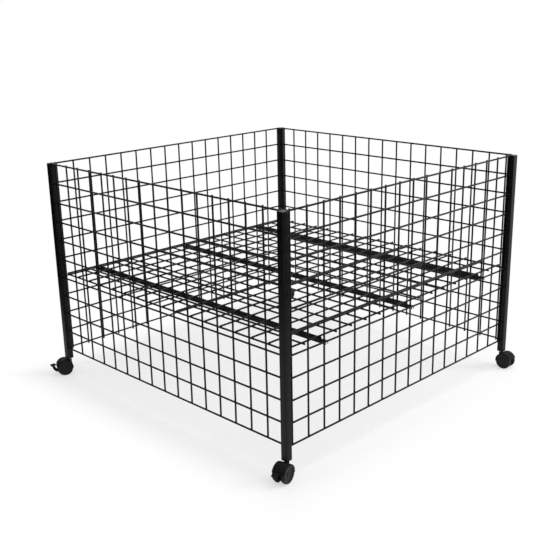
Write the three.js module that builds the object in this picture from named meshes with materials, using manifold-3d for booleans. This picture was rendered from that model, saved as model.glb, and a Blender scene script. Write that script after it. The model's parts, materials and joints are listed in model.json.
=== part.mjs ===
// A square retail dump bin on casters: wire grid sides between corner posts, set
// round the square like the vanes of a pinwheel, and a loose wire grid shelf lying
// on bars that hook over the side wires.
// Millimetres, +Z up, origin on the floor at the middle of the four posts.

import * as THREE from 'three';
import { mergeVertices } from 'three/addons/utils/BufferGeometryUtils.js';
import Module from 'manifold-3d';

// Wire grids
const wireDiameter = 6.35;
const meshPitch = 76.2;
const cellsAcross = 16;
const cellsUp = 10;
const weldSink = 0.7;
const lowerTail = 6.5;
const upperTail = 4;
const shelfTail = 4.5;

// How each side grid stands between its posts: its last upright wire lies against
// the post at its right, seen from outside, and its first stands off the one at its left
const gridShift = 1;
const leftEndGap = 15.2;
const gridInset = 2;
const shelfRow = 4;

// Posts and their caps
const postSize = 25.4;
const postCornerRadius = 1.8;
const postWall = 1.6;
const postDropBelowGrid = 44.7;
const capEdge = 1;
const capCrown = 1.2;
const crownStart = 1;
const crownSlope = 2.5;
const capAboveTopWire = 2.6;
const plugDepth = 12;

// Bars that carry the shelf
const barWidth = 12.7;
const barHeight = 12.7;
const barSheet = 1.6;
const barTip = 2.6;
const cellsBetweenBars = 6;

// Casters
const wheelDiameter = 63.5;
const casterWidth = 47;
const casterTrail = 22;
const treadGap = 19;
const treadEdge = 1.8;
const rimDepth = 7;
const rimSlope = 1.5;
const faceRecess = 2.4;
const wheelSkin = 2.2;
const hoodOverWheel = 0.7;
const hoodSheet = 1.75;
const hoodStart = 20;
const hoodEnd = 190;
const coreRadius = 27;
const bossRadius = 8.6;
const bossDrop = 8;
const neckHeight = 3.7;
const collarRadius = 7.5;
const stemRadius = 4.8;
const stemFootDrop = 5.75;
const stemTopRadius = 5.2;
const stemInSocket = 24;
const socketFlange = 2;
const swivelGap = 2.05;
const socketDepth = 30;
const axleRadius = 3;

// The way each caster trails at rest, in degrees from +X towards +Y
const trailFrontRight = -78;
const trailRearRight = 0;
const trailRearLeft = 90;
const trailFrontLeft = -115;

// Brake pedals
const pedalPivotOut = 22;
const pedalPivotDrop = 6;
const pedalBellyOut = 30;
const pedalBellyDrop = 12.5;
const pedalHeelOut = 41;
const pedalHeelDrop = 3;
const padMiddleOut = 45;
const padMiddleRise = 14;
const padLength = 14;
const padTilt = 10;
const lipOut = 33.5;
const lipDrop = 1;
const padThickness = 5;
const padWidth = 21;
const pedalThickness = 9;
const pedalWidth = 9.8;
const barrelRadius = 4;
const trunnionRadius = 2;
const trunnionGrip = 3;

// Clearances
const fitGap = 0.3;
const slideGap = 0.7;

// Angles in degrees
const fullTurn = 360;
const quarterTurn = fullTurn / 4;

// Facets
const wireSides = 6;
const cornerSteps = 3;
const wheelSides = 16;
const roundSides = 10;
const smallSides = 6;
const hoodSteps = 11;
const pedalSteps = 8;

// Sizes worked out from those above
const hexRadius = (wireDiameter / 2) * Math.sqrt(Math.PI / (1.5 * Math.sqrt(3)));
const hexHalfFlat = hexRadius * Math.cos(Math.PI / wireSides);
const layerStep = 2 * hexRadius - weldSink;
const gridHalf = (cellsAcross * meshPitch) / 2;
const gridRise = cellsUp * meshPitch;
const rightEnd = gridHalf + gridShift + hexRadius;
const leftEnd = gridHalf - gridShift + leftEndGap - fitGap;
const postNear = rightEnd + fitGap + postSize / 2;
const postFar = leftEnd + fitGap + postSize / 2;
const gridPlane = (postNear + postFar) / 2 - gridInset;
const outerLayer = gridPlane + layerStep / 2;
const innerLayer = gridPlane - layerStep / 2;
const wheelRadius = wheelDiameter / 2;
const socketBottom = wheelDiameter + hoodOverWheel + hoodSheet + swivelGap;
const postBottom = socketBottom + socketFlange + fitGap;
const lowestWire = postBottom + postDropBelowGrid;
const capTop = lowestWire + gridRise + capAboveTopWire;
const capBottom = capTop - capCrown - capEdge;
const postTop = capBottom - fitGap;
const postBore = postSize - 2 * postWall;
const plugSize = postBore - 2 * fitGap;
const shelfWireLevel = lowestWire + shelfRow * meshPitch;
const notchTop = shelfWireLevel + hexHalfFlat + fitGap;
const notchHalf = hexRadius + slideGap;
const barTop = notchTop + barSheet;
const barBottom = barTop - barHeight;
const wheelInner = treadGap / 2;
const wheelOuter = casterWidth / 2;
const coreHalf = wheelInner - slideGap;
const hoodInner = wheelRadius + hoodOverWheel;
const hoodOuter = hoodInner + hoodSheet;
const stemFoot = wheelRadius - stemFootDrop;
const collarTop = socketBottom - fitGap;
const bossTop = collarTop - neckHeight - fitGap;

const wasm = await Module();
wasm.setup();

// Turn a closed three.js shape into a solid that can be joined and cut.
function solid(geometry) {
  const bare = geometry.clone();
  bare.deleteAttribute('normal');
  bare.deleteAttribute('uv');
  const merged = mergeVertices(bare, 1e-4);
  return new wasm.Manifold(
    new wasm.Mesh({
      numProp: 3,
      vertProperties: new Float32Array(merged.attributes.position.array),
      triVerts: new Uint32Array(merged.index.array),
    }),
  );
}

// Turn a joined solid back into three.js geometry.
function geometryOf(body) {
  const mesh = body.getMesh();
  const geometry = new THREE.BufferGeometry();
  geometry.setAttribute('position', new THREE.BufferAttribute(mesh.vertProperties, 3));
  geometry.setIndex(new THREE.BufferAttribute(mesh.triVerts, 1));
  return geometry;
}

function join(bodies) {
  return bodies.reduce((whole, body) => whole.add(body));
}

// A bar of the given outline in X and Z, centred across Y.
function slab(points, thickness) {
  const shape = new THREE.Shape(points.map(([x, z]) => new THREE.Vector2(x, z)));
  const geometry = new THREE.ExtrudeGeometry(shape, { depth: thickness, bevelEnabled: false });
  geometry.rotateX(Math.PI / 2);
  geometry.translate(0, thickness / 2, 0);
  return geometry;
}

// Points on an arc in X and Z, angles in degrees from +X towards +Z.
function arc(x, z, radius, from, to, steps) {
  return Array.from({ length: steps + 1 }, (_, k) => {
    const angle = THREE.MathUtils.degToRad(from + ((to - from) * k) / steps);
    return [x + radius * Math.cos(angle), z + radius * Math.sin(angle)];
  });
}

// A round pin along Y, centred on the given place in X and Z.
function crossPin(radius, length, sides, x, z) {
  const geometry = new THREE.CylinderGeometry(radius, radius, length, sides);
  geometry.translate(x, 0, z);
  return geometry;
}

// A round pin along Z from one height to another on the stem's axis.
function uprightPin(radius, from, to, sides) {
  const geometry = new THREE.CylinderGeometry(radius, radius, to - from, sides);
  geometry.rotateX(Math.PI / 2);
  geometry.translate(0, 0, (from + to) / 2);
  return geometry;
}

function box(sizeX, sizeY, sizeZ, x, y, z) {
  const geometry = new THREE.BoxGeometry(sizeX, sizeY, sizeZ);
  geometry.translate(x, y, z);
  return geometry;
}

// Outline of a square with rounded corners.
function roundedSquare(size, radius) {
  const inset = size / 2 - radius;
  const corners = [0, 1, 2, 3].flatMap((k) => {
    const turn = k * quarterTurn;
    const angle = THREE.MathUtils.degToRad(turn + quarterTurn / 2);
    const x = Math.sign(Math.cos(angle)) * inset;
    const y = Math.sign(Math.sin(angle)) * inset;
    return arc(x, y, radius, turn, turn + quarterTurn, cornerSteps);
  });
  return new THREE.Shape(corners.map(([x, y]) => new THREE.Vector2(x, y)));
}

// A polygon fits round a turning pin when its flats clear the pin's corners.
function boreFor(radius, sides) {
  return (radius + fitGap) / Math.cos(Math.PI / sides);
}

// A straight wire along Y, six-sided, with an edge towards the layer it is welded to.
function straightWire(length) {
  const lastCorner = quarterTurn + fullTurn - fullTurn / wireSides;
  const section = arc(0, 0, hexRadius, quarterTurn, lastCorner, wireSides - 1);
  return slab(section, length);
}

// A welded grid lying in X and Y: one layer of wires along X, one along Y.
function wireGrid({ wiresX, wiresY, fromX, toX, fromY, toY, levelX, levelY }) {
  const alongX = wiresX.map((y) => {
    const wire = straightWire(toX - fromX).rotateZ(Math.PI / 2);
    return solid(wire.translate((fromX + toX) / 2, y, levelX));
  });
  const alongY = wiresY.map((x) => {
    const wire = straightWire(toY - fromY);
    return solid(wire.translate(x, (fromY + toY) / 2, levelY));
  });
  return geometryOf(join([...alongX, ...alongY]));
}

function spread(cells, start) {
  return Array.from({ length: cells + 1 }, (_, k) => start + k * meshPitch);
}

// A side grid, stood up facing -Y: level wires outside, upright wires inside.
function sideGrid() {
  const grid = wireGrid({
    wiresX: spread(cellsUp, lowestWire),
    wiresY: spread(cellsAcross, gridShift - gridHalf),
    fromX: -leftEnd,
    toX: rightEnd,
    fromY: lowestWire - lowerTail,
    toY: lowestWire + gridRise + upperTail,
    levelX: outerLayer,
    levelY: innerLayer,
  });
  return grid.rotateX(Math.PI / 2);
}

// The loose shelf: its lower wires lie on the bars.
function shelfGrid() {
  const level = barTop + fitGap + hexRadius;
  const reach = gridHalf + shelfTail;
  return wireGrid({
    wiresX: spread(cellsAcross, -gridHalf),
    wiresY: spread(cellsAcross, -gridHalf),
    fromX: -reach,
    toX: reach,
    fromY: -reach,
    toY: reach,
    levelX: level,
    levelY: level + layerStep,
  });
}

// A square tube post, standing at the origin.
function postTube() {
  const shape = roundedSquare(postSize, postCornerRadius);
  const half = postBore / 2;
  const bore = [[-half, -half], [-half, half], [half, half], [half, -half]];
  shape.holes.push(new THREE.Path(bore.map(([x, y]) => new THREE.Vector2(x, y))));
  const tube = new THREE.ExtrudeGeometry(shape, { depth: postTop - postBottom, bevelEnabled: false });
  return tube.translate(0, 0, postBottom);
}

// A plate as wide as the post, with a plug that goes up or down into the tube.
function postPlug(plateBottom, plateThickness, plugFrom, plugTo) {
  const outline = roundedSquare(postSize, postCornerRadius);
  const plate = new THREE.ExtrudeGeometry(outline, { depth: plateThickness, bevelEnabled: false });
  plate.translate(0, 0, plateBottom);
  const plug = box(plugSize, plugSize, plugTo - plugFrom, 0, 0, (plugFrom + plugTo) / 2);
  return solid(plate).add(solid(plug));
}

// A cap: plate and plug, with a flat-topped crown whose sides slope.
function postCap() {
  const plug = postPlug(capBottom, capEdge, capBottom - plugDepth, capBottom + capEdge / 2);
  const toCorner = Math.SQRT2;
  const wide = (postSize / 2 - crownStart) * toCorner;
  const narrow = (postSize / 2 - crownStart - crownSlope) * toCorner;
  const crown = new THREE.CylinderGeometry(narrow, wide, capCrown, 4);
  crown.rotateX(Math.PI / 2);
  crown.rotateZ(Math.PI / 4);
  crown.translate(0, 0, capTop - capCrown / 2);
  return geometryOf(plug.add(solid(crown)));
}

function casterSocket() {
  const bodyTop = postBottom + socketDepth;
  const body = postPlug(socketBottom, socketFlange, socketBottom + socketFlange / 2, bodyTop);
  const bore = uprightPin(boreFor(stemTopRadius, roundSides), 0, bodyTop + fitGap, roundSides);
  return geometryOf(body.subtract(solid(bore)));
}

// A folded channel, open below, whose top rests on the level side wires. Its ends are
// slotted to straddle an upright wire, and its sides notched to drop over the level one.
function supportBar() {
  const end = outerLayer + notchHalf + barTip;
  const slotStart = innerLayer - notchHalf;
  const inner = barWidth - 2 * barSheet;
  const channel = solid(box(2 * end, barWidth, barHeight, 0, 0, barTop - barHeight / 2));
  const hollow = solid(box(4 * end, inner, 2 * (barHeight - barSheet), 0, 0, barBottom));
  const cuts = [-1, 1].map((side) => {
    const slot = box(2 * (end - slotStart), 2 * notchHalf, 4 * barHeight, side * end, 0, barTop);
    const notch = box(2 * notchHalf, 2 * barWidth, 2 * barHeight, 0, 0, 0);
    notch.translate(side * outerLayer, 0, notchTop - barHeight);
    return solid(slot).add(solid(notch));
  });
  return geometryOf(channel.subtract(hollow).subtract(join(cuts)));
}

// The caster's parts stand with the stem on the Z axis, trailing towards +X.

// A grip stem: lower pin in the hood, collar, upper pin in the socket.
function casterStem() {
  const profile = [
    [0, stemFoot],
    [stemRadius, stemFoot],
    [stemRadius, collarTop - neckHeight],
    [collarRadius, collarTop - neckHeight],
    [collarRadius, collarTop],
    [stemTopRadius, collarTop],
    [stemTopRadius, collarTop + stemInSocket],
    [0, collarTop + stemInSocket],
  ];
  return turned(profile, roundSides).rotateX(Math.PI / 2);
}

// Turn a profile of radius and height about the Y axis.
function turned(profile, sides) {
  const points = profile.map(([r, y]) => new THREE.Vector2(r, y));
  return geometryOf(solid(new THREE.LatheGeometry(points, sides)));
}

// One wheel on the +Y side: tread, dished outer face and a blind axle bore.
function casterWheel() {
  const face = wheelOuter - faceRecess;
  const bore = boreFor(axleRadius, wheelSides);
  const profile = [
    [0, face - wheelSkin],
    [bore, face - wheelSkin],
    [bore, wheelInner],
    [wheelRadius, wheelInner],
    [wheelRadius, wheelOuter - treadEdge],
    [wheelRadius - treadEdge, wheelOuter],
    [wheelRadius - rimDepth, wheelOuter],
    [wheelRadius - rimDepth - rimSlope, face],
    [0, face],
  ];
  return turned(profile, wheelSides);
}

const pivotX = casterTrail + pedalPivotOut;
const pivotZ = wheelRadius - pedalPivotDrop;

// The hood: a core between the wheels, a mudguard over them, and a stem boss. Where
// there is a brake, a slot in the core's lower half takes the pedal.
function casterHood(braked) {
  const at = (radius, from, to) => arc(casterTrail, wheelRadius, radius, from, to, hoodSteps);
  const guard = slab(
    [...at(hoodOuter, hoodStart, hoodEnd), ...at(hoodInner, hoodEnd, hoodStart)],
    casterWidth,
  );
  const core = slab(
    [
      ...at(hoodInner + hoodSheet / 2, hoodStart, hoodEnd),
      ...at(coreRadius, hoodEnd, hoodStart + fullTurn),
    ],
    2 * coreHalf,
  );
  const boss = uprightPin(bossRadius, wheelRadius - bossDrop, bossTop, roundSides);
  let hood = join([solid(guard), solid(core), solid(boss)]);
  if (braked) {
    const slotSize = 2 * wheelDiameter;
    const slotFrom = pivotX - barrelRadius - slideGap;
    const slotTop = pivotZ + barrelRadius + slideGap;
    const slot = box(slotSize, pedalWidth + 2 * fitGap, slotSize, 0, 0, 0);
    slot.translate(slotFrom + slotSize / 2, 0, slotTop - slotSize / 2);
    const eye = crossPin(boreFor(trunnionRadius, smallSides), casterWidth, smallSides, pivotX, pivotZ);
    hood = hood.subtract(solid(slot)).subtract(solid(eye));
  }
  const stemBore = uprightPin(boreFor(stemRadius, roundSides), stemFoot - fitGap, 2 * bossTop, roundSides);
  const axleHole = boreFor(axleRadius, roundSides);
  const axleBore = crossPin(axleHole, casterWidth, roundSides, casterTrail, wheelRadius);
  return geometryOf(hood.subtract(solid(stemBore)).subtract(solid(axleBore)));
}

function casterAxle() {
  const length = 2 * (wheelOuter - faceRecess - wheelSkin - fitGap);
  return crossPin(axleRadius, length, roundSides, casterTrail, wheelRadius);
}

// A pedal: an arm that leaves the hood low, curves up, and carries a foot pad with a lip
// towards the wheels.
function brakePedal() {
  const at = (out, up) => new THREE.Vector2(casterTrail + out, wheelRadius + up);
  const path = new THREE.SplineCurve([
    new THREE.Vector2(pivotX, pivotZ),
    at(pedalBellyOut, -pedalBellyDrop),
    at(pedalHeelOut, -pedalHeelDrop),
    at(padMiddleOut, padMiddleRise),
  ]);
  const half = pedalThickness / 2;
  const edge = (side, k) => {
    const point = path.getPoint(k / pedalSteps);
    const along = path.getTangent(k / pedalSteps);
    return [point.x - side * half * along.y, point.y + side * half * along.x];
  };
  const steps = Array.from({ length: pedalSteps + 1 }, (_, k) => k);
  const outline = [...steps.map((k) => edge(-1, k)), ...steps.reverse().map((k) => edge(1, k))];
  const arm = solid(slab(outline, pedalWidth));
  const pad = new THREE.BoxGeometry(padLength, padWidth, padThickness);
  pad.rotateY(THREE.MathUtils.degToRad(padTilt));
  pad.translate(casterTrail + padMiddleOut, 0, wheelRadius + padMiddleRise);
  const lipMiddle = at((padMiddleOut + lipOut) / 2, padMiddleRise - lipDrop);
  const lip = box(padMiddleOut - lipOut, pedalWidth, padThickness, lipMiddle.x, 0, lipMiddle.y);
  const barrel = solid(crossPin(barrelRadius, pedalWidth, roundSides, pivotX, pivotZ));
  const trunnion = crossPin(trunnionRadius, pedalWidth + 2 * trunnionGrip, smallSides, pivotX, pivotZ);
  return geometryOf(join([arm, solid(pad), solid(lip), barrel, solid(trunnion)]));
}

const blackPaint = { color: 0x17181a, roughness: 0.45, metalness: 0.1 };
const blackPlastic = { color: 0x1d1d1e, roughness: 0.5, metalness: 0 };
const blackTread = { color: 0x141414, roughness: 0.75, metalness: 0 };
const zincSteel = { color: 0x9a9c9e, roughness: 0.35, metalness: 0.9 };

const bin = new THREE.Group();
bin.name = 'retail_dump_bin';

function put(name, geometry, look) {
  const mesh = new THREE.Mesh(geometry, new THREE.MeshStandardMaterial(look));
  mesh.name = name;
  bin.add(mesh);
}

// Four side grids, one on each side.
const side = sideGrid();
['front', 'right', 'rear', 'left'].forEach((name, turn) => {
  put(`panel_${name}`, side.clone().rotateZ((turn * Math.PI) / 2), blackPaint);
});

put('shelf_grid', shelfGrid(), blackPaint);

// Three bars under the shelf, each on an upright wire of the left and right sides.
const bar = supportBar();
['front', 'middle', 'rear'].forEach((name, k) => {
  const offset = (k - 1) * cellsBetweenBars * meshPitch;
  put(`support_bar_${name}`, bar.clone().translate(0, offset, 0), blackPaint);
});

// The corners in order round the square: the way each caster trails at rest, and its brake.
const corners = [
  { name: 'front_right', trail: trailFrontRight, braked: true },
  { name: 'rear_right', trail: trailRearRight, braked: false },
  { name: 'rear_left', trail: trailRearLeft, braked: false },
  { name: 'front_left', trail: trailFrontLeft, braked: true },
];
const upAxis = new THREE.Vector3(0, 0, 1);

for (const [turn, { name, trail, braked }] of corners.entries()) {
  const place = new THREE.Vector3(postNear, -postFar, 0).applyAxisAngle(upAxis, (turn * Math.PI) / 2);
  const stand = (geometry) => geometry.translate(place.x, place.y, place.z);
  const trailing = (geometry) => stand(geometry.rotateZ(THREE.MathUtils.degToRad(trail)));
  put(`post_${name}`, stand(postTube()), blackPaint);
  put(`post_cap_${name}`, stand(postCap()), blackPlastic);
  put(`caster_socket_${name}`, stand(casterSocket()), blackPlastic);
  put(`caster_stem_${name}`, stand(casterStem()), zincSteel);
  put(`caster_hood_${name}`, trailing(casterHood(braked)), blackPlastic);
  put(`caster_axle_${name}`, trailing(casterAxle()), zincSteel);
  for (const [half, flip] of [['a', 0], ['b', Math.PI]]) {
    const wheel = casterWheel().rotateX(flip).translate(casterTrail, 0, wheelRadius);
    put(`caster_wheel_${half}_${name}`, trailing(wheel), blackTread);
  }
  if (braked) {
    put(`brake_pedal_${name}`, trailing(brakePedal()), blackPlastic);
  }
}

export default bin;
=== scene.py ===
import json

import bpy
import numpy as np
from mathutils import Matrix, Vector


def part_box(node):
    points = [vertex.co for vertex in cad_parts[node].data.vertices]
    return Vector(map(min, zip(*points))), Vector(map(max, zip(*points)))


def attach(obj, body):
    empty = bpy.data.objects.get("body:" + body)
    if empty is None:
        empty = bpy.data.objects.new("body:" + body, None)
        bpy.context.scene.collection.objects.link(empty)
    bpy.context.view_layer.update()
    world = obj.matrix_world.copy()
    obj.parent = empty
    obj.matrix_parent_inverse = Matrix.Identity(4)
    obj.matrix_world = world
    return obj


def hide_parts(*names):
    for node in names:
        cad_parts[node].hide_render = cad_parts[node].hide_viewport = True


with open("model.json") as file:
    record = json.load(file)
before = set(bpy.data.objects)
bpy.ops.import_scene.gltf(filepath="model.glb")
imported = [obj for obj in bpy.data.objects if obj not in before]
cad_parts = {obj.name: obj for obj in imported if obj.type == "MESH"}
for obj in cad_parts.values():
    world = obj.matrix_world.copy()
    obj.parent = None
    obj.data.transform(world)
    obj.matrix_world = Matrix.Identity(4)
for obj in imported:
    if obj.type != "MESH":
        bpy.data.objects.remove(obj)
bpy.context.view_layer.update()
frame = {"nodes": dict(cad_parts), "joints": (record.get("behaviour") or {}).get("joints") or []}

# Corner posts: one inch square steel tube, cut square at both ends and powder
# coated black. Plastic plugs close the tube above and below.
MM = 0.001
POST_CORNER = 2.0 * MM
POST_INNER_CORNER = 1.04 * MM
POST_WALL = 1.6 * MM
POST_CUT = 0.3 * MM
CORNER_STEPS = 7
SHARP_EDGE = np.radians(38)
COAT_BLACK = (0.0022, 0.0022, 0.0024, 1)
COAT_WORN = (0.0042, 0.0042, 0.0044, 1)
# The dust colour is also a painted highlight on the tops of the wires, bars and tubes.
COAT_DUST_AND_TOP_SHEEN = (0.06, 0.058, 0.055, 1)
corners = ["front_right", "rear_right", "rear_left", "front_left"]


def box_of(node):
    """The low and the high corner of a CAD node's box, as two rows."""
    return np.array([list(corner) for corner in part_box(node)], float)


def middle(node):
    """The middle of a CAD node's box in X and Y, with zero height, and the box's half width."""
    low, high = box_of(node)
    return np.append((low + high)[:2] / 2, 0), (high - low)[0] / 2


def rounded_square(half, radius):
    """Points round a square with quarter-circle corners, anticlockwise from +X: each corner's
    centre, set in by the radius, plus the radius along an angle that grows by 90 degrees."""
    turn = np.arange(4)[:, None] * np.pi / 2
    angle = turn + np.linspace(0, np.pi / 2, CORNER_STEPS)
    inset = half - radius
    x = inset * np.sign(np.cos(turn + np.pi / 4)) + radius * np.cos(angle)
    y = inset * np.sign(np.sin(turn + np.pi / 4)) + radius * np.sin(angle)
    return np.stack([x.ravel(), y.ravel()], axis=1)


def upright(outline, levels):
    """A flat outline, (sides, 2), repeated at levels, with a scale of its own at each:
    rings of (x * scale, y * scale, level)."""
    scales, heights = np.asarray(levels, float).T
    flat = outline[None] * scales[:, None, None]
    tall = np.broadcast_to(heights[:, None, None], (*flat.shape[:2], 1))
    return np.concatenate([flat, tall], axis=2)


def loft_faces(lofts, rings, sides, closed):
    """Faces of lofts whose points run loft by loft, ring by ring and point by point: a quad
    between neighbours, then either a join from the last ring to the first or two flat ends."""
    index = np.arange(lofts * rings * sides).reshape(lofts, rings, sides)
    near, far = (index, np.roll(index, -1, axis=1)) if closed else (index[:, :-1], index[:, 1:])
    walls = np.stack([near, np.roll(near, -1, axis=2), np.roll(far, -1, axis=2), far], axis=-1)
    ends = [] if closed else [np.concatenate([index[:, 0, ::-1], index[:, -1]])]
    return [walls.reshape(-1, 4), *ends]


def loft(rings, closed=False):
    """A surface through rings of equally many points, given as (rings, sides, 3) or as
    several lofts at once, (lofts, rings, sides, 3)."""
    rings = rings if rings.ndim == 4 else rings[None]
    return rings.reshape(-1, 3), loft_faces(*rings.shape[:3], closed)


def add_piece(name, shape, finish, slot, body, *nodes):
    """Puts points and faces into a mesh at the origin, smooth but for its sharp edges, and lets
    it ride on a body in place of CAD nodes."""
    points, faces = shape
    sizes = np.concatenate([np.full(len(face), face.shape[1]) for face in faces])
    corner_points = np.concatenate([face.ravel() for face in faces])
    mesh = bpy.data.meshes.new(name)
    mesh.vertices.add(len(points))
    mesh.vertices.foreach_set("co", np.asarray(points, np.float32).ravel())
    mesh.loops.add(int(sizes.sum()))
    mesh.loops.foreach_set("vertex_index", corner_points.astype(np.int32))
    mesh.polygons.add(len(sizes))
    mesh.polygons.foreach_set("loop_start", (np.cumsum(sizes) - sizes).astype(np.int32))
    mesh.update(calc_edges=True)
    mesh.polygons.foreach_set("use_smooth", np.ones(len(sizes), bool))
    mesh.set_sharp_from_angle(angle=SHARP_EDGE)
    mesh.materials.append(finish)
    piece = bpy.data.objects.new(name, mesh)
    bpy.context.scene.collection.objects.link(piece)
    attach(piece, body)
    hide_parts(*nodes)


def node_maker(tree):
    """A maker of nodes in a tree that also sets a node's inputs: a socket is linked, anything
    else is a value."""
    def node(kind, inputs, **settings):
        made = tree.nodes.new(kind)
        for setting, value in settings.items():
            setattr(made, setting, value)
        for socket, value in inputs.items():
            if isinstance(value, bpy.types.NodeSocket):
                tree.links.new(value, made.inputs[socket])
            else:
                made.inputs[socket].default_value = value
        return made

    return node


def new_finish(name, **constants):
    """A material with its shader's constants set on the sockets, a maker of its nodes, and a
    function that links a node's output to one of the shader's sockets."""
    finish = bpy.data.materials.new(name)
    finish.use_nodes = True
    tree = finish.node_tree
    shader = tree.nodes["Principled BSDF"]
    for socket, value in constants.items():
        shader.inputs[socket.replace("_", " ")].default_value = value

    def feed(socket, source):
        tree.links.new(source, shader.inputs[socket])

    return finish, node_maker(tree), feed


def speckle(node, scale, detail, band, spread=(0.0, 1.0)):
    """Noise on the object's own coordinates, in patches of one over scale metres, with its
    middle band spread over another range."""
    place = node("ShaderNodeTexCoord", {}).outputs["Object"]
    noise = node("ShaderNodeTexNoise", {"Vector": place, "Scale": scale, "Detail": detail})
    limits = dict(zip(("From Min", "From Max", "To Min", "To Max"), (*band, *spread)))
    return node("ShaderNodeMapRange", {"Value": noise.outputs[0], **limits}).outputs[0]


def times(node, first, second):
    """The product of two values."""
    return node("ShaderNodeMath", {0: first, 1: second}, operation="MULTIPLY").outputs[0]


def blended(node, amount, under, over):
    """One colour laid over another by an amount from 0 to 1."""
    colours = {"Factor": amount, 6: under, 7: over}
    return node("ShaderNodeMix", colours, data_type="RGBA").outputs[2]


def facing_up(node, start, full):
    """0 on walls and below, growing to 1 on faces that look up, where dust settles and where a painted
    highlight on the tops goes.
    """
    normal = node("ShaderNodeNewGeometry", {}).outputs["Normal"]
    height = node("ShaderNodeSeparateXYZ", {0: normal}).outputs["Z"]
    return node("ShaderNodeMapRange", {"Value": height, "From Min": start, "From Max": full}).outputs[0]


def bumps(node, height, strength, depth):
    """Normals bent by a height that stands for a depth in metres."""
    return node("ShaderNodeBump", {"Strength": strength, "Distance": depth, "Height": height}).outputs[0]


def powder_coat():
    """Black powder coat: fine orange peel, patches a little duller than others, and a trace of dust where
    the surface looks up, which is also a painted highlight on the tops."""
    finish, node, feed = new_finish("black_powder_coat", Specular_IOR_Level=0.17)
    patches = speckle(node, scale=9.0, detail=4.0, band=(0.35, 0.65))
    coat = blended(node, patches, COAT_BLACK, COAT_WORN)
    specks = speckle(node, scale=160.0, detail=3.0, band=(0.4, 0.7), spread=(0.02, 0.14))
    # Lighter specks on faces that look up: dust, and also a painted highlight on the tops.
    dust_and_sheen = times(node, facing_up(node, start=0.35, full=0.95), specks)
    feed("Base Color", blended(node, dust_and_sheen, coat, COAT_DUST_AND_TOP_SHEEN))
    feed("Roughness", speckle(node, scale=40.0, detail=3.0, band=(0.3, 0.7), spread=(0.34, 0.46)))
    peel = speckle(node, scale=750.0, detail=2.0, band=(0.2, 0.8))
    feed("Normal", bumps(node, peel, strength=0.25, depth=0.1 * MM))
    return finish


coat = powder_coat()

for corner in corners:
    centre, half = middle(f"post_{corner}")
    bottom, top = box_of(f"post_{corner}")[:, 2]
    outer = rounded_square(half, POST_CORNER)
    inner = rounded_square(half - POST_WALL, POST_INNER_CORNER)
    eased = rounded_square(half - POST_CUT, POST_CORNER)
    walls = [
        upright(inner, [(1, top), (1, bottom)]),
        upright(eased, [(1, bottom)]),
        upright(outer, [(1, bottom + POST_CUT), (1, top - POST_CUT)]),
        upright(eased, [(1, top)]),
    ]
    tube = loft(np.concatenate(walls) + centre, closed=True)
    add_piece(f"tube_{corner}", tube, coat, "black_powder_coat", "frame", f"post_{corner}")

# Post caps: moulded black plugs pushed into the tube tops. The plate covers the tube's
# edge and is crowned, and it is glossier than the casters, so that its top looks grey.
CAP_SKIRT = 0.9 * MM
CAP_STEPS = 10
CROWN_POWER = 2.5
PLUG_SHARE = 0.85
PLASTIC_BLACK = (0.0058, 0.0058, 0.006, 1)
PLASTIC_FLOW = (0.009, 0.009, 0.0094, 1)
# The dust colour is also a painted highlight on upward faces, such as the cap tops.
PLASTIC_DUST_AND_TOP_SHEEN = (0.07, 0.068, 0.064, 1)
ROUGHNESS_RANGE = 0.15


def moulded_plastic(name, gloss, dullest):
    """Black moulded plastic: fine spark-eroded texture, faint flow marks, and dust on top, which is also a
    painted highlight on the upward faces.
    """
    finish, node, feed = new_finish(name, Specular_IOR_Level=gloss)
    flow = speckle(node, scale=22.0, detail=3.0, band=(0.35, 0.65))
    black = blended(node, flow, PLASTIC_BLACK, PLASTIC_FLOW)
    specks = speckle(node, scale=220.0, detail=3.0, band=(0.35, 0.7), spread=(0.02, 0.2))
    # Lighter specks on faces that look up: dust, and also a painted highlight on the tops.
    dust_and_sheen = times(node, facing_up(node, start=0.85, full=1.0), specks)
    feed("Base Color", blended(node, dust_and_sheen, black, PLASTIC_DUST_AND_TOP_SHEEN))
    dullness = (dullest - ROUGHNESS_RANGE, dullest)
    feed("Roughness", speckle(node, scale=90.0, detail=2.0, band=(0.3, 0.7), spread=dullness))
    grain = speckle(node, scale=1600.0, detail=2.0, band=(0.2, 0.8))
    feed("Normal", bumps(node, grain, strength=0.3, depth=0.06 * MM))
    return finish


cap_plastic = moulded_plastic("black_cap_plastic", gloss=0.4, dullest=0.5)

for corner in corners:
    centre, half = middle(f"post_cap_{corner}")
    bottom, top = box_of(f"post_cap_{corner}")[:, 2]
    seat = box_of(f"post_{corner}")[1, 2]
    outline = rounded_square(half, POST_CORNER)
    share = np.cos(np.linspace(0, np.pi / 2, CAP_STEPS, endpoint=False))
    crown = seat + CAP_SKIRT + (top - seat - CAP_SKIRT) * np.sqrt(1 - share ** CROWN_POWER)
    plug = [(PLUG_SHARE, bottom), (PLUG_SHARE, seat), (1, seat)]
    cap = loft(upright(outline, plug + list(zip(share, crown))) + centre)
    add_piece(f"cap_{corner}", cap, cap_plastic, "black_plastic", "frame", f"post_cap_{corner}")

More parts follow.
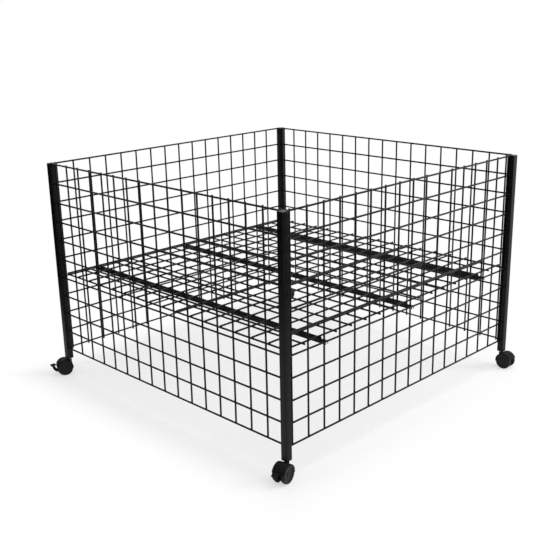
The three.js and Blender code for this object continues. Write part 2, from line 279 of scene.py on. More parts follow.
# Side grids: quarter inch drawn steel wire, welded into squares and powder coated, the
# upright wires inside and the level ones outside. Each grid's last upright wire lies against
# the post at its right, and its level wires reach across a gap to the post at its left.
WIRE_COAT = 0.1 * MM
WIRE = 6.35 / 2 * MM + WIRE_COAT
WIRE_SIDES = 16
WIRE_CUT = np.array([0, 0.3, 1]) * 0.5 * MM
LAYERS = 6.15 * MM
PITCH = 76.2 * MM
CELLS = 16
GRID_SHIFT = 1.0 * MM
LOWER_TAIL = 6.5 * MM
NUGGET_WIDE = 3.95 * MM
NUGGET_DEEP = 3.0 * MM
NUGGET_POLE_ANGLE = 0.12
NUGGET_RINGS = 6
NUGGET_SIDES = 10
BEAD_WIDE = 5.2 * MM
BEAD_LONG = 4.0 * MM
BEAD_RINGS = 5
BEAD_SIDES = 12
UPRIGHT_ENOUGH = 0.9


def together(*shapes):
    """Several shapes as one: the points end to end, each shape's faces counted on."""
    points, faces, start = [], [], 0
    for shape_points, shape_faces in shapes:
        points.append(shape_points)
        faces += [face + start for face in shape_faces]
        start += len(shape_points)
    return np.concatenate(points), faces


def across(direction):
    """Each row's unit direction, and two unit vectors square to it and to each other,
    right-handed. They start from Z, or from X where the direction is nearly upright."""
    direction = direction / np.linalg.norm(direction, axis=-1, keepdims=True)
    helper = np.where(np.abs(direction[..., 2:]) > UPRIGHT_ENOUGH, [1.0, 0, 0], [0, 0, 1.0])
    first = np.cross(helper, direction)
    first /= np.linalg.norm(first, axis=-1, keepdims=True)
    return direction, first, np.cross(direction, first)


def rods(starts, ends, stations, sides):
    """Round rods between rows of points. stations holds a radius and a distance from the start
    at each ring; a ring is the axis point plus the radius round the two cross vectors."""
    along, first, second = across(ends - starts)
    radius, distance = np.asarray(stations, float).T
    angle = np.arange(sides) * 2 * np.pi / sides
    round_it = np.cos(angle)[:, None] * first[:, None] + np.sin(angle)[:, None] * second[:, None]
    axis = starts[:, None] + along[:, None] * distance[None, :, None]
    return loft(axis[:, :, None] + radius[None, :, None, None] * round_it[:, None])


def wires(starts, ends):
    """Straight wires of one length with slightly rounded cut ends: the radius falls short of the
    wire's by the cut's steps, taken backwards, at distances of the same steps."""
    length = np.linalg.norm(ends[0] - starts[0])
    ease = np.stack([WIRE - WIRE_CUT[::-1], WIRE_CUT], axis=1)
    back = ease[::-1] * [1, -1] + [0, length]
    return rods(starts, ends, np.concatenate([ease, back]), WIRE_SIDES)


def nuggets(places, normal):
    """Weld nuggets where two wires cross: low ellipsoids, rings of a sine of the angle from
    one pole to the other, their axis along the grid's normal."""
    angle = np.linspace(NUGGET_POLE_ANGLE, np.pi - NUGGET_POLE_ANGLE, NUGGET_RINGS)
    stations = np.stack([NUGGET_WIDE * np.sin(angle), NUGGET_DEEP * (1 - np.cos(angle))], axis=1)
    starts = places - NUGGET_DEEP * np.asarray(normal, float)
    return rods(starts, starts + np.asarray(normal, float), stations, NUGGET_SIDES)


def beads(places, outward):
    """Weld beads where a wire meets a post: a collar that falls from the post's face to the
    wire along a quarter of a cosine, squared."""
    share = np.linspace(0, 1, BEAD_RINGS)
    radius = WIRE + (BEAD_WIDE - WIRE) * np.cos(share * np.pi / 2) ** 2
    return rods(places, places + outward, np.stack([radius, BEAD_LONG * share], axis=1), BEAD_SIDES)


def points_at(x, y, z):
    """Rows of X, Y and Z from values and arrays that are spread over one another."""
    return np.stack(np.broadcast_arrays(x, y, z), axis=-1).reshape(-1, 3).astype(float)


def turned_about_z(points, quarter):
    """Points turned by a number of quarter turns about the Z axis."""
    angle = quarter * np.pi / 2
    cos, sin = np.round(np.cos(angle)), np.round(np.sin(angle))
    return points @ np.array([[cos, sin, 0], [-sin, cos, 0], [0, 0, 1]])


low, high = box_of("panel_front")
plane = (low + high)[1] / 2
outside, inside = plane - LAYERS / 2, plane + LAYERS / 2
level_rows = np.arange(low[2] + LOWER_TAIL, high[2], PITCH)
grid_rows = (np.arange(CELLS + 1) - CELLS / 2) * PITCH
upright_rows = grid_rows + GRID_SHIFT
right_post = box_of("post_front_right")[0, 0]
left_post = box_of("post_front_left")[1, 0]
side_grid = together(
    wires(points_at(low[0], outside, level_rows), points_at(high[0], outside, level_rows)),
    wires(points_at(upright_rows, inside, low[2]), points_at(upright_rows, inside, high[2])),
    nuggets(points_at(upright_rows[:, None], plane, level_rows[None]), (0, -1, 0)),
    beads(points_at(right_post, outside, level_rows), np.array([-1.0, 0, 0])),
    beads(points_at(left_post, outside, level_rows), np.array([1.0, 0, 0])),
)
for quarter, side in enumerate(["front", "right", "rear", "left"]):
    turned = (turned_about_z(side_grid[0], quarter), side_grid[1])
    add_piece(f"wire_grid_{side}", turned, coat, "black_powder_coat", "frame", f"panel_{side}")

# Caster sockets: moulded inserts driven into the post bottoms, with a flange
# under the tube's end and a bore that grips the caster's stem.
SOCKET_EASE = 0.4 * MM
SOCKET_FLANGE = 2.0 * MM
SOCKET_BORE = 5.5 * MM
BORE_TURN = np.pi / 2 / CORNER_STEPS
plastic = moulded_plastic("black_moulded_plastic", gloss=0.08, dullest=0.7)


def circle(radius, sides, start=0.0):
    """Points round a circle, anticlockwise from an angle."""
    angle = start + np.arange(sides) * 2 * np.pi / sides
    return radius * np.stack([np.cos(angle), np.sin(angle)], axis=1)


for corner in corners:
    centre, half = middle(f"caster_socket_{corner}")
    bottom, top = box_of(f"caster_socket_{corner}")[:, 2]
    outline = rounded_square(half, POST_CORNER)
    bore = circle(SOCKET_BORE, len(outline), BORE_TURN)
    flange = bottom + SOCKET_FLANGE
    eased = 1 - SOCKET_EASE / half
    walls = [
        upright(bore, [(1, top), (1, bottom)]),
        upright(outline, [(eased, bottom), (1, bottom + SOCKET_EASE), (1, flange)]),
        upright(outline, [(PLUG_SHARE, flange), (PLUG_SHARE, top)]),
    ]
    socket = loft(np.concatenate(walls) + centre, closed=True)
    add_piece(f"socket_{corner}", socket, plastic, "black_plastic", "frame", f"caster_socket_{corner}")

# Caster stems: turned steel pins, zinc plated. A collar stands under the socket,
# the pin above it is gripped by the socket, and the hood turns on the pin below.
COLLAR = 7.5 * MM
COLLAR_TALL = 3.7 * MM
COLLAR_EASE = 0.4 * MM
COLLAR_GAP = 0.3 * MM
STEM_TOP = 5.2 * MM
STEM_POINT = 1.2 * MM
STEM_LOW = 4.8 * MM
STEM_EASE = 0.6 * MM
ROUND_SIDES = 40
ZINC_BLUE = (0.50, 0.51, 0.53, 1)
ZINC_PALE = (0.66, 0.66, 0.65, 1)


def zinc_plate():
    """Bright zinc plate, a little clouded, with a fine grain left by turning."""
    finish, node, feed = new_finish("zinc_plate", Metallic=1.0)
    cloud = speckle(node, scale=180.0, detail=3.0, band=(0.3, 0.7))
    feed("Base Color", blended(node, cloud, ZINC_BLUE, ZINC_PALE))
    feed("Roughness", speckle(node, scale=300.0, detail=2.0, band=(0.3, 0.7), spread=(0.28, 0.42)))
    marks = speckle(node, scale=2600.0, detail=1.0, band=(0.2, 0.8))
    feed("Normal", bumps(node, marks, strength=0.2, depth=0.04 * MM))
    return finish


zinc = zinc_plate()


def collar_levels(corner):
    """The top and the underside of a stem's collar, which hangs a gap below the socket."""
    top = box_of(f"caster_socket_{corner}")[0, 2] - COLLAR_GAP
    return top, top - COLLAR_TALL


for corner in corners:
    centre, _ = middle(f"caster_stem_{corner}")
    foot, tip = box_of(f"caster_stem_{corner}")[:, 2]
    seat, under = collar_levels(corner)
    profile = [
        (STEM_LOW - STEM_EASE, foot), (STEM_LOW, foot + STEM_EASE), (STEM_LOW, under),
        (COLLAR - COLLAR_EASE, under), (COLLAR, under + COLLAR_EASE),
        (COLLAR, seat - COLLAR_EASE), (COLLAR - COLLAR_EASE, seat),
        (STEM_TOP, seat), (STEM_TOP, tip - STEM_POINT), (STEM_TOP - STEM_POINT, tip),
    ]
    stem = loft(upright(circle(1.0, ROUND_SIDES), profile) + centre)
    add_piece(f"stem_{corner}", stem, zinc, "zinc_steel", "frame", f"caster_stem_{corner}")

# Caster hoods: one black moulding that turns on the stem. A core stands between the
# wheels, a mudguard curves over them, and a boss takes the stem. On the front casters the
# core is two cheeks with a slot between them for the brake pedal.
CASTER_HALF = 23.5 * MM
GUARD_INNER = 32.45 * MM
GUARD_OUTER = 34.2 * MM
GUARD_START, GUARD_END = np.radians((20, 190))
GUARD_STEPS = 44
GUARD_ROUND = 0.96
GUARD_LIP = np.array([0.55, 0.85, 1.0])
GUARD_LIP_STEP = np.radians(0.8)
GUARD_LIP_DRAW = 1.0 * MM
CORE_HALF = 8.8 * MM
CORE_BELOW = 27.0 * MM
CORE_BITE = 0.6 * MM
CORE_SHORT_ANGLE = 0.03
BOSS = 8.6 * MM
BOSS_DROP = 8.0 * MM
BOSS_EASE = 1.0 * MM
BOSS_BORE = STEM_LOW + 0.5 * MM
BORE_DEEPER = 0.3 * MM
EDGE = 0.8 * MM
EDGE_STEPS = 4
SLOT_HALF = 5.2 * MM
SLOT_ROOM = 4.7 * MM
SLOT_ARC_STEPS = 8
CHEEK_SIDES = [(-CORE_HALF, -SLOT_HALF), (SLOT_HALF, CORE_HALF)]
joints = {joint["name"]: joint for joint in frame["joints"]}


def caster_place(corner):
    """A caster's own axes from its joints: the stem's place on the floor, and rows that take
    trail, side and up to X, Y and Z, with the axle's distance behind the stem and its height."""
    stem = np.array(joints[f"caster_swivel_{corner}"]["pos_m"])
    axle = np.array(joints[f"wheel_spin_a_{corner}"]["pos_m"])
    back = axle[:2] - stem[:2]
    trail = np.linalg.norm(back)
    ahead = np.append(back / trail, 0)
    axes = np.stack([ahead, np.cross((0, 0, 1), ahead), (0, 0, 1)])
    return np.append(stem[:2], 0), axes, trail, axle[2]


def settle(shape, corner):
    """A shape made on the caster's own axes, put in its place."""
    stem, axes, _, _ = caster_place(corner)
    return shape[0] @ axes + stem, shape[1]


def has_brake(corner):
    """Whether a caster has a brake pedal."""
    return f"brake_press_{corner}" in joints


def pedal_pivot(corner):
    """The pedal's pivot in trail and height, from its joint."""
    stem, axes, _, _ = caster_place(corner)
    place = (np.array(joints[f"brake_press_{corner}"]["pos_m"]) - stem) @ axes.T
    return place[0], place[2]


def arc(centre, radius, start, end, steps):
    """Points on an arc in trail and height, from one angle to another."""
    angle = np.linspace(start, end, steps)
    return np.asarray(centre) + radius * np.stack([np.cos(angle), np.sin(angle)], axis=1)


def drawn_in(outline, amount):
    """A closed outline, anticlockwise, moved inwards along the normal of its neighbours' chord."""
    chord = np.roll(outline, -1, axis=0) - np.roll(outline, 1, axis=0)
    chord /= np.linalg.norm(chord, axis=1, keepdims=True)
    return outline + amount * np.stack([-chord[:, 1], chord[:, 0]], axis=1)


def plate(outline, left, right, edge):
    """A plate with an outline in trail and height between two side planes. Its rim is rounded:
    towards each face the outline is drawn in by one minus the cosine of a growing angle."""
    angle = np.linspace(0, np.pi / 2, EDGE_STEPS)
    inwards = edge * (1 - np.cos(angle))
    outwards = edge * np.sin(angle) - edge
    amounts = np.concatenate([inwards[::-1], inwards])
    sides = np.concatenate([right + outwards[::-1], left - outwards])
    rings = [np.insert(drawn_in(outline, amount), 1, side, axis=1) for amount, side in zip(amounts, sides)]
    return loft(np.stack(rings))


def mudguard(axle):
    """The guard: a flat strip with rounded edges carried round an arc about the axle. Each ring
    is the strip's section in side and radius; at both ends the section shrinks to a soft lip."""
    half_thick = (GUARD_OUTER - GUARD_INNER) / 2
    section = rounded_square(1.0, GUARD_ROUND) * [CASTER_HALF, half_thick]
    swell = np.concatenate([GUARD_LIP, np.ones(GUARD_STEPS), GUARD_LIP[::-1]])[:, None]
    lip = GUARD_LIP_STEP * np.arange(len(GUARD_LIP))
    between = np.linspace(GUARD_START, GUARD_END, GUARD_STEPS + 2)[1:-1]
    angle = np.concatenate([GUARD_START + lip, between, GUARD_END - lip[::-1]])[:, None]
    radius = (GUARD_INNER + GUARD_OUTER) / 2 + section[None, :, 1] * swell
    side = section[None, :, 0] - np.sign(section[None, :, 0]) * (1 - swell) * GUARD_LIP_DRAW
    x = axle[0] + radius * np.cos(angle)
    z = axle[1] + radius * np.sin(angle)
    return loft(np.stack([x, -side, z], axis=-1))


def slotted(corner, upper):
    """The core's outline between the cheeks: the lower arc stops at the slot, runs up its wall
    and out along its roof, both clear of the pedal's pivot, and goes on from there."""
    _, _, trail, height = caster_place(corner)
    pivot = np.array(pedal_pivot(corner)) - (trail, height)
    wall = pivot[0] - SLOT_ROOM
    roof = pivot[1] + SLOT_ROOM
    wall_angle = 2 * np.pi - np.arccos(wall / CORE_BELOW)
    roof_angle = np.arcsin(roof / CORE_BELOW)
    below = arc((trail, height), CORE_BELOW, GUARD_END, wall_angle, GUARD_STEPS)
    ahead = arc((trail, height), CORE_BELOW, roof_angle, GUARD_START, SLOT_ARC_STEPS)
    return np.concatenate([upper, below, [(trail + wall, height + roof)], ahead])


def hood(corner):
    """The mudguard and the turned boss, and between the wheels either one core plate or two
    cheeks with the slotted core between them."""
    _, _, trail, height = caster_place(corner)
    axle = (trail, height)
    foot = height - BOSS_DROP
    neck = collar_levels(corner)[1] - COLLAR_GAP
    bore_end = box_of(f"caster_stem_{corner}")[0, 2] - BORE_DEEPER
    boss = loft(upright(circle(1.0, ROUND_SIDES), [
        (BOSS - BOSS_EASE, foot), (BOSS, foot + BOSS_EASE), (BOSS, neck - EDGE), (BOSS - EDGE, neck),
        (BOSS_BORE, neck), (BOSS_BORE, bore_end),
    ]))
    upper_start, upper_end = GUARD_START + CORE_SHORT_ANGLE, GUARD_END - CORE_SHORT_ANGLE
    upper = arc(axle, GUARD_INNER + CORE_BITE, upper_start, upper_end, GUARD_STEPS)
    lower = arc(axle, CORE_BELOW, GUARD_END, GUARD_START + 2 * np.pi, GUARD_STEPS)
    core = np.concatenate([upper, lower])
    shapes = [mudguard(axle), boss]
    if has_brake(corner):
        shapes += [plate(core, *sides, EDGE) for sides in CHEEK_SIDES]
        shapes.append(plate(slotted(corner, upper), -SLOT_HALF - EDGE, SLOT_HALF + EDGE, EDGE))
    else:
        shapes.append(plate(core, -CORE_HALF, CORE_HALF, EDGE))
    return settle(together(*shapes), corner)


for corner in corners:
    body = f"caster_{corner}"
    add_piece(f"hood_{corner}", hood(corner), plastic, "black_plastic", body, f"caster_hood_{corner}")

# Brake pedals, on the front casters: a black moulded lever between two cheeks of the
# hood, on trunnions. The arm leaves the hood low, curves up behind the wheels and carries
# a ribbed foot pad that slopes down and away, with a lip towards the wheels.
PEDAL_HALF = SLOT_HALF - 0.3 * MM
PEDAL_THICK = 9.0 * MM
ARM_SWELL = 1.6 * MM
ARM_STEPS = 40
BELLY = np.array((30.0, -12.5)) * MM
HEEL = np.array((41.0, -3.5)) * MM
PAD_MIDDLE = np.array((48.0, 14.0)) * MM
PAD_LENGTH = 18.0 * MM
PAD_HALF = 10.5 * MM
PAD_THICK = 5.0 * MM
PAD_TILT = np.radians(10)
PAD_BOW = 1.2 * MM
PAD_STEPS = 61
GRIP_DEPTH = 0.4 * MM
GRIP_COUNT = 5
GRIP_REACH = 0.8
LIP_OUT = 33.5 * MM
LIP_DROP = 1.0 * MM
LIP_STEPS = 24
BARREL = SLOT_ROOM - 0.7 * MM
TRUNNION = 2.0 * MM
TRUNNION_END = 7.9 * MM
PIN_EASE = 0.4 * MM
PIN_SIDES = 24
STRIP_CORNER = 0.6
STRIP_TOP = 0.6
STRIP_TAPER = 0.25
STRIP_END = 0.05
STRIP_TIP = 0.1


def smooth_path(knots, steps):
    """A Catmull-Rom curve through knots: at each step, a cubic between two knots whose slopes
    are half the chord of the knots on either side. Returns points and unit tangents."""
    knots = np.concatenate([2 * knots[:1] - knots[1:2], knots, 2 * knots[-1:] - knots[-2:-1]])
    along = np.linspace(0, len(knots) - 3, steps)
    span = np.minimum(along.astype(int), len(knots) - 4)
    t = (along - span)[:, None]
    a, b, c, d = (knots[span + k] for k in range(4))
    square, cube = 2 * a - 5 * b + 4 * c - d, 3 * b - a - 3 * c + d
    points = 0.5 * (2 * b + (c - a) * t + square * t**2 + cube * t**3)
    slope = 0.5 * ((c - a) + 2 * square * t + 3 * cube * t**2)
    return points, slope / np.linalg.norm(slope, axis=1, keepdims=True)


def strip(path, tangent, half_width, half_thick, ridges=0.0):
    """A rounded strip carried along a path in trail and height. Each ring is the path's point
    plus the section's side and thickness, the thickness along the path's normal; ridges add
    to the upper side, and both ends are eased by a square root."""
    normal = np.stack([-tangent[:, 1], tangent[:, 0]], axis=1)
    share = np.linspace(0, 1, len(path))
    from_end = np.minimum(share, 1 - share) / STRIP_END
    ease = np.sqrt(np.clip(from_end, STRIP_TIP, 1))[:, None]
    section = rounded_square(1.0, STRIP_CORNER)
    thick = np.reshape(half_thick, (-1, 1)) * ease * section[None, :, 1]
    thick = thick + np.where(section[None, :, 1] > STRIP_TOP, np.reshape(ridges, (-1, 1)) * ease, 0)
    side = half_width * (1 - STRIP_TAPER * (1 - ease)) * section[None, :, 0]
    flat = path[:, None] + normal[:, None] * thick[..., None]
    return loft(np.stack([flat[..., 0], side, flat[..., 1]], axis=-1))


def crossbar(centre, stations, sides):
    """A turned shape along the axle's direction about a place in trail and height: stations
    hold a radius and a place along the side axis."""
    start = np.array([[centre[0], 0.0, centre[1]]])
    return rods(start, start + np.array([[0, 1.0, 0]]), stations, sides)


def pedal(corner):
    """The arm along a smooth path from the pivot, thickened by half a sine, the pad with ridges
    across it, bowed by a parabola, a lip from the pad towards the wheels, and a barrel with two
    trunnions."""
    _, _, trail, height = caster_place(corner)
    axle = np.array((trail, height))
    pivot = np.array(pedal_pivot(corner))
    path, tangent = smooth_path(np.array([pivot, axle + BELLY, axle + HEEL, axle + PAD_MIDDLE]), ARM_STEPS)
    swell = ARM_SWELL * np.sin(np.linspace(0, np.pi, ARM_STEPS))
    arm = strip(path, tangent, PEDAL_HALF, PEDAL_THICK / 2 + swell)
    share = np.linspace(-1, 1, PAD_STEPS)
    slope = np.array((np.cos(PAD_TILT), -np.sin(PAD_TILT)))
    rise = np.array((np.sin(PAD_TILT), np.cos(PAD_TILT)))
    bow = PAD_BOW * (share**2 - 0.5)
    pad_path = axle + PAD_MIDDLE + share[:, None] * slope * PAD_LENGTH / 2 + bow[:, None] * rise
    ridges = GRIP_DEPTH * np.where(np.abs(share) < GRIP_REACH, np.sin(share * np.pi * GRIP_COUNT), 0)
    foot = strip(pad_path, np.tile(slope, (PAD_STEPS, 1)), PAD_HALF, PAD_THICK / 2, ridges)
    lip_start = axle + (LIP_OUT, PAD_MIDDLE[1] - LIP_DROP)
    lip_end = axle + PAD_MIDDLE - (0, LIP_DROP)
    lip_path = np.linspace(lip_start, lip_end, LIP_STEPS)
    lip = strip(lip_path, np.tile((1.0, 0.0), (LIP_STEPS, 1)), PEDAL_HALF, PAD_THICK / 2)
    half_pin = np.array([
        (TRUNNION - PIN_EASE, TRUNNION_END), (TRUNNION, TRUNNION_END - PIN_EASE), (TRUNNION, PEDAL_HALF),
        (BARREL - PIN_EASE, PEDAL_HALF), (BARREL, PEDAL_HALF - PIN_EASE),
    ])
    pins = np.concatenate([half_pin * [1, -1], half_pin[::-1]])
    return settle(together(arm, foot, lip, crossbar(pivot, pins, PIN_SIDES)), corner)


for corner in filter(has_brake, corners):
    body = f"brake_{corner}"
    add_piece(f"pedal_{corner}", pedal(corner), plastic, "black_plastic", body, f"brake_pedal_{corner}")

# Caster wheels: a pair on each axle, black nylon with a plain rounded tread. The
# outer face is dished, with a raised ring round a shallow middle cap.
AXLE_BORE = 3.4 * MM
BORE_FLOOR = 2.2 * MM
BORE_EASE = 0.3 * MM
TREAD_INNER = 9.5 * MM
TREAD_DROP = 1.5 * MM
TREAD_STEPS = 9
DISH = 2.4 * MM
RIM = np.array([(2.6, 0), (6.6, 0), (7.2, 0.3), (8.2, 2.1), (8.8, 2.4)]) * MM
RING = np.array([
    (11.4, 0), (10.8, 0.2), (10.4, 1.0), (9.8, 1.2), (8.2, 1.2), (7.6, 1.0), (7.2, 0.3),
]) * MM
MIDDLE_CAP = np.array([(6.6, 0.2), (4.0, 0.5), (1.0, 0.6)]) * MM
WHEEL_SIDES = 72
NYLON_BLACK = (0.008, 0.008, 0.0083, 1)
NYLON_SCUFFED = (0.022, 0.0215, 0.021, 1)


def wheel_nylon():
    """Black nylon: smooth, with greyer scuffs and grit on it from rolling."""
    finish, node, feed = new_finish("wheel_nylon", Specular_IOR_Level=0.16)
    scuffs = speckle(node, scale=70.0, detail=5.0, band=(0.48, 0.72), spread=(0.0, 0.5))
    feed("Base Color", blended(node, scuffs, NYLON_BLACK, NYLON_SCUFFED))
    feed("Roughness", speckle(node, scale=120.0, detail=3.0, band=(0.3, 0.7), spread=(0.38, 0.6)))
    grit = speckle(node, scale=900.0, detail=3.0, band=(0.3, 0.8))
    feed("Normal", bumps(node, grit, strength=0.3, depth=0.08 * MM))
    return finish


nylon = wheel_nylon()


def wheel(corner, sign):
    """A wheel as a turned profile of radius and place along the axle, from the bottom of the
    axle's bore round the inner face, the tread, whose edges fall by the fourth power, the rim,
    given by insets and depths, and the dish to the ring and the middle cap, given by radii and
    heights over the dish."""
    _, _, trail, radius = caster_place(corner)
    crown = np.linspace(-1, 1, TREAD_STEPS)
    tread_half = (CASTER_HALF - TREAD_INNER) / 2
    tread_mid = (CASTER_HALF + TREAD_INNER) / 2
    face = CASTER_HALF - DISH
    profile = np.concatenate([
        [(AXLE_BORE, face - BORE_FLOOR), (AXLE_BORE, TREAD_INNER + BORE_EASE)],
        [(AXLE_BORE + BORE_EASE, TREAD_INNER), (radius - RIM[0, 0], TREAD_INNER)],
        np.stack([radius - TREAD_DROP * crown**4, tread_mid + tread_half * crown], axis=1),
        (radius, CASTER_HALF) - RIM,
        (0, face) + RING,
        (0, face) + MIDDLE_CAP,
    ])
    points, faces = crossbar((0.0, 0.0), profile, WHEEL_SIDES)
    return settle((points * [sign, sign, 1] + [trail, 0, radius], faces), corner)


for corner in corners:
    for half, sign in (("a", 1), ("b", -1)):
        name = f"wheel_{half}_{corner}"
        add_piece(name, wheel(corner, sign), nylon, "caster_wheel", name, f"caster_{name}")

# Caster axles: plain zinc plated steel pins pressed through the hood, with a wheel on
# each end. They are hidden inside the wheels, so the CAD pins stay, in the stems' zinc.
for corner in corners:
    axle_pin = frame["nodes"][f"caster_axle_{corner}"]
    axle_pin.data.materials.clear()
    axle_pin.data.materials.append(zinc)

# Support bars: steel strip folded to a channel, open below. The sides run on as lugs
# on either side of an upright wire, and notches in them drop over the level wire.
BAR_SHEET = 1.6 * MM
BAR_BEND = 2.2 * MM
BEND_STEPS = 7
WEB_GAP = 0.9 * MM
LUG_EDGE = 0.25 * MM
LUG_OVERLAP = 2.0 * MM
LUG_TOE = 1.5 * MM
LUG_BACK = 2.5 * MM
NOTCH_HALF = 4.1 * MM
NOTCH_EASE = 1.0 * MM
NOTCH_GAP = 0.2 * MM


def bar(low, high, web_end, notch_at, notch_top):
    """The channel's section, in side and height, carried along the bar, and four lugs: plates
    whose outline runs out, round the notch, up the end and back. Ledges of the channel's top
    run on with them beside the upright wire."""
    half = (high - low)[1] / 2
    tall = (high - low)[2]
    bends = np.linspace(0, np.pi / 2, BEND_STEPS)
    turn = np.stack([np.cos(bends), np.sin(bends)], axis=1)
    bend_at = np.array([half, tall]) - BAR_BEND
    outer = np.concatenate([[(half, 0)], bend_at + BAR_BEND * turn])
    inner = np.concatenate([[(half - BAR_SHEET, 0)], bend_at + (BAR_BEND - BAR_SHEET) * turn])
    outside = np.concatenate([outer, outer[::-1] * [-1, 1]])
    inside = np.concatenate([inner, inner[::-1] * [-1, 1]])
    section = np.concatenate([outside, inside[::-1]])
    middle_y = (low + high)[1] / 2
    ends = np.array([-web_end, web_end])[:, None]
    places = points_at(ends, middle_y + section[None, :, 0], low[2] + section[None, :, 1])
    shapes = [loft(places.reshape(2, len(section), 3))]
    start, end = web_end - LUG_OVERLAP, high[0]
    near, far = notch_at - NOTCH_HALF, notch_at + NOTCH_HALF
    outline = np.array([
        (start, low[2]), (near, low[2]), (near, notch_top - NOTCH_EASE), (near + NOTCH_EASE, notch_top),
        (far - NOTCH_EASE, notch_top), (far, notch_top - NOTCH_EASE), (far, low[2]),
        (end - LUG_TOE, low[2]), (end, low[2] + LUG_TOE), (end, high[2] - LUG_BACK),
        (end - LUG_BACK, high[2]), (start, high[2]),
    ])
    ledge_low, ledge_end = high[2] - BAR_SHEET, end - LUG_BACK
    ledge = np.array([(start, ledge_low), (ledge_end, ledge_low), (ledge_end, high[2]), (start, high[2])])
    for way in (1, -1):
        for side in (1, -1):
            for shape, depth in ((outline, BAR_SHEET), (ledge, half - NOTCH_HALF)):
                points, faces = plate(shape, *sorted((side * half, side * (half - depth))), LUG_EDGE)
                points = points * [way, 1, 1] + [0, middle_y, 0]
                shapes.append((points, faces if way > 0 else [face[:, ::-1] for face in faces]))
    return together(*shapes)


web_end = -inside - WIRE - WEB_GAP
for name in ("support_bar_front", "support_bar_middle", "support_bar_rear"):
    low, high = box_of(name)
    row = level_rows[np.argmin(np.abs(level_rows - (low + high)[2] / 2))]
    channel = bar(low, high, web_end, -outside, row + WIRE + NOTCH_GAP)
    add_piece(name.replace("support_", ""), channel, coat, "black_powder_coat", name, name)

# Shelf: a loose square grid of the same wire, welded and coated like the sides. It
# lies on the bars with its X wires underneath, and its wire tails clear the sides.
low, high = box_of("shelf_grid")
mid_level = (low + high)[2] / 2
under, over = mid_level - LAYERS / 2, mid_level + LAYERS / 2
shelf = together(
    wires(points_at(low[0], grid_rows, under), points_at(high[0], grid_rows, under)),
    wires(points_at(grid_rows, low[1], over), points_at(grid_rows, high[1], over)),
    nuggets(points_at(grid_rows[:, None], grid_rows[None], mid_level), (0, 0, 1)),
)
add_piece("shelf_wires", shelf, coat, "black_powder_coat", "shelf", "shelf_grid")

# Camera: level with a standing person's chest, off the front right corner, turned
# a little about its own axis as the photograph is.
CAMERA_AZIMUTH, CAMERA_ELEVATION, CAMERA_ROLL = np.radians((44.859, 17.363, -1.040))
CAMERA_TARGET = np.array([0.2315, -0.2544, 0.4960])
CAMERA_DISTANCE = 3.2392
LENS = 57.386
SENSOR = 36.0
FARTHEST = 500.0


def looking(place, target, roll=0.0):
    """Axes of something at a place that looks at a target: right, up and back as columns,
    rolled about the line of sight."""
    back = np.asarray(place, float) - target
    back /= np.linalg.norm(back)
    right = np.cross((0, 0, 1.0), back)
    right /= np.linalg.norm(right)
    up = np.cross(back, right)
    tilted = np.cos(roll) * right + np.sin(roll) * up
    matrix = np.eye(4)
    matrix[:3] = np.stack([tilted, np.cross(back, tilted), back, place], axis=1)
    return Matrix(matrix.tolist())


facing = np.array([np.sin(CAMERA_AZIMUTH), -np.cos(CAMERA_AZIMUTH), 0.0])
back = np.cos(CAMERA_ELEVATION) * facing + [0, 0, np.sin(CAMERA_ELEVATION)]
camera = bpy.data.objects.new("camera", bpy.data.cameras.new("camera"))
bpy.context.scene.collection.objects.link(camera)
camera.data.lens = LENS
camera.data.sensor_width = SENSOR
camera.data.clip_end = FARTHEST
camera.matrix_world = looking(CAMERA_TARGET + back * CAMERA_DISTANCE, CAMERA_TARGET, CAMERA_ROLL)
bpy.context.scene.camera = camera
bpy.context.scene.view_settings.view_transform = "Standard"

# Studio floor and surround: white paint that keeps the shadow under the bin and fades
# to plain white outside it, and a white surround that lights the bin evenly.
FLOOR_HALF = 60.0
FLOOR_WHITE = 0.55
FLOOR_PAINT = (0.97, 0.97, 0.97, 1)
FADE_FROM, FADE_TO = 0.64, 0.86
SURROUND_LIGHT = 0.64
SURROUND_SEEN = 1.0


def seen_ray(node):
    """1 for a ray from the camera, from a reflection or through glass, and 0 for light that
    only falls on things."""
    path = node("ShaderNodeLightPath", {})
    total = path.outputs["Is Camera Ray"]
    for name in ("Is Glossy Ray", "Is Transmission Ray"):
        total = node("ShaderNodeMath", {0: total, 1: path.outputs[name]}, operation="MAXIMUM").outputs[0]
    return total


def floor_paint():
    """White floor: lit paint that takes the shadow, mixed for the camera, for reflections and
    through glass with plain white. The plain share grows with the larger of the distances from
    the middle along X and Y, from a little over half under the bin to all of it outside."""
    finish, node, _ = new_finish("floor_paint", Base_Color=FLOOR_PAINT, Roughness=0.9)
    place = node("ShaderNodeTexCoord", {}).outputs["Object"]
    apart = node("ShaderNodeVectorMath", {0: place}, operation="ABSOLUTE").outputs[0]
    axes = node("ShaderNodeSeparateXYZ", {0: apart}).outputs
    away = node("ShaderNodeMath", {0: axes["X"], 1: axes["Y"]}, operation="MAXIMUM").outputs[0]
    limits = {"From Min": FADE_FROM, "From Max": FADE_TO, "To Min": FLOOR_WHITE}
    fade = node("ShaderNodeMapRange", {"Value": away, **limits}, interpolation_type="SMOOTHSTEP").outputs[0]
    plain = times(node, seen_ray(node), fade)
    nodes = finish.node_tree.nodes
    paint = nodes["Principled BSDF"].outputs[0]
    white = node("ShaderNodeEmission", {}).outputs[0]
    mixed = node("ShaderNodeMixShader", {0: plain, 1: paint, 2: white}).outputs[0]
    finish.node_tree.links.new(mixed, nodes["Material Output"].inputs["Surface"])
    return finish


floor_corners = np.array([(-1, -1, 0), (1, -1, 0), (1, 1, 0), (-1, 1, 0)]) * FLOOR_HALF
floor_mesh = bpy.data.meshes.new("floor")
floor_mesh.from_pydata(floor_corners.tolist(), [], [(0, 1, 2, 3)])
floor_mesh.materials.append(floor_paint())
floor = bpy.data.objects.new("floor", floor_mesh)
bpy.context.scene.collection.objects.link(floor)

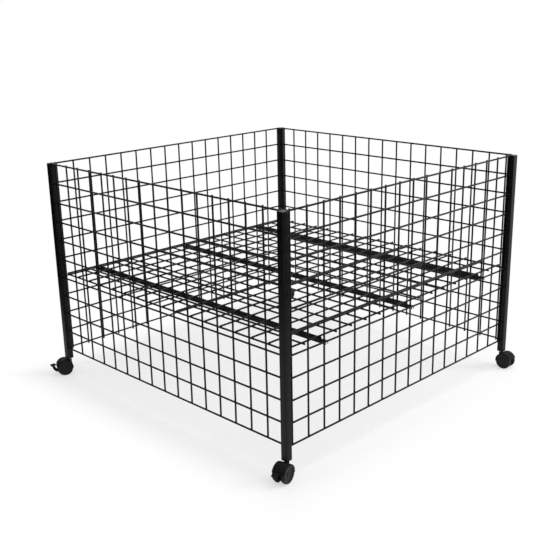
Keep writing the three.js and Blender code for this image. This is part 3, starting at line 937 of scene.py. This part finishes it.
world = bpy.data.worlds.new("white_surround")
bpy.context.scene.world = world
world.use_nodes = True
world_node = node_maker(world.node_tree)
levels = {"Value": seen_ray(world_node), "To Min": SURROUND_LIGHT, "To Max": SURROUND_SEEN}
strength = world_node("ShaderNodeMapRange", levels).outputs[0]
surround = world.node_tree.nodes["Background"]
surround.inputs["Color"].default_value = (1, 1, 1, 1)
world.node_tree.links.new(strength, surround.inputs["Strength"])

# Studio flags: two boards of black felt that stand beside the bin, toed in towards the
# camera. They show only in reflections, and keep the posts' outer sides dark. Each has a
# side, and a far and a near end, measured from the middle towards the camera.
FLAG_SIDE = 1.2
FLAG_SIDE_AT = 0.9
FLAG_TOE = np.radians(19.4)
FLAG_TALL = 1.1
FLAGS = {"flag_left": (-1, -1.3, 2.0), "flag_right": (1, 0.3, 2.0)}
FELT_BLACK = (0.006, 0.006, 0.006, 1)
FELT_GREY = (0.012, 0.012, 0.012, 1)


def flag_felt():
    """Black felt: matt, with a fibrous grain that changes its grey a little."""
    finish, node, feed = new_finish("flag_felt", Specular_IOR_Level=0.05, Roughness=0.95)
    grain = speckle(node, scale=60.0, detail=4.0, band=(0.3, 0.7))
    feed("Base Color", blended(node, grain, FELT_BLACK, FELT_GREY))
    return finish


felt = flag_felt()
sideways = np.array([np.cos(CAMERA_AZIMUTH), np.sin(CAMERA_AZIMUTH), 0.0])
for name, (way, far, near) in FLAGS.items():
    depth = np.array([far, near])
    side = way * (FLAG_SIDE + (FLAG_SIDE_AT - depth) * np.tan(FLAG_TOE))
    feet = depth[:, None] * facing + side[:, None] * sideways
    stood = np.concatenate([feet, feet[::-1] + [0, 0, FLAG_TALL]])
    board = bpy.data.meshes.new(name)
    board.from_pydata(stood.tolist(), [], [(0, 1, 2, 3)])
    board.materials.append(felt)
    flag = bpy.data.objects.new(name, board)
    flag.visible_camera = False
    flag.visible_diffuse = False
    flag.visible_shadow = False
    bpy.context.scene.collection.objects.link(flag)

# Studio lamps: a broad one above, and one low behind on the right that edges the
# posts. Each has a place, a target, a size in metres and a power in watts.
LAMPS = {
    "broad_lamp": ((1.6, 1.0, 3.8), (0.0, 0.0, 0.5), 2.6, 54.0),
    "edge_lamp": ((3.2, 3.0, 1.6), (0.3, 0.3, 0.5), 1.6, 66.0),
}
for name, (place, target, size, power) in LAMPS.items():
    lamp = bpy.data.lights.new(name, "AREA")
    lamp.shape = "DISK"
    lamp.size = size
    lamp.energy = power
    stand = bpy.data.objects.new(name, lamp)
    bpy.context.scene.collection.objects.link(stand)
    stand.matrix_world = looking(place, target)
